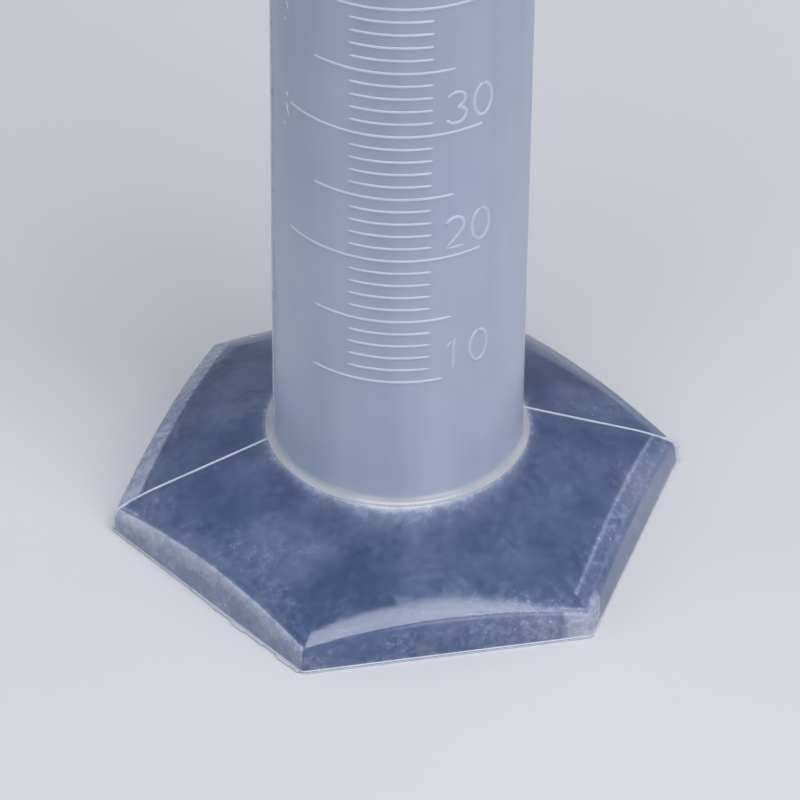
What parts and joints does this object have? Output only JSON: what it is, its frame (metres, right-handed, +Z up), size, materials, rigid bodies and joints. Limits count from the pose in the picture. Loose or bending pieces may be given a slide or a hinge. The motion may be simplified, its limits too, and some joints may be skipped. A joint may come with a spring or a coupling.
{
  "type": "graduated measuring cylinder",
  "caption": "Tall translucent plastic measuring cylinder with a raised millilitre scale, a pouring spout and an open hexagonal foot.",
  "frame": {"origin": "middle of the foot's underside, on the tube's axis, with the foot standing on z = 0", "axes": "+Z up along the tube; the scale faces -Y; the pouring spout points to -X; the foot's corners lie on +X and -X and its flat sides face -Y and +Y"},
  "size_m": [0.0682, 0.0594, 0.225],
  "materials": {
    "tube_plastic": "satin, milky translucent natural polypropylene",
    "rim_plastic": "satin, milky translucent natural polypropylene",
    "foot_plastic": "glossy, thinner and clearer than the tube, faintly mottled",
    "pad_plastic": "satin, milky where the plastic is thick"
  },
  "bodies": {
    "root": {"measuring_tube": "tube_plastic", "pouring_rim": "rim_plastic", "hexagonal_foot": "foot_plastic", "corner_pad_left": "pad_plastic", "corner_pad_front": "pad_plastic", "corner_pad_back": "pad_plastic"}
  },
  "joints": []
}
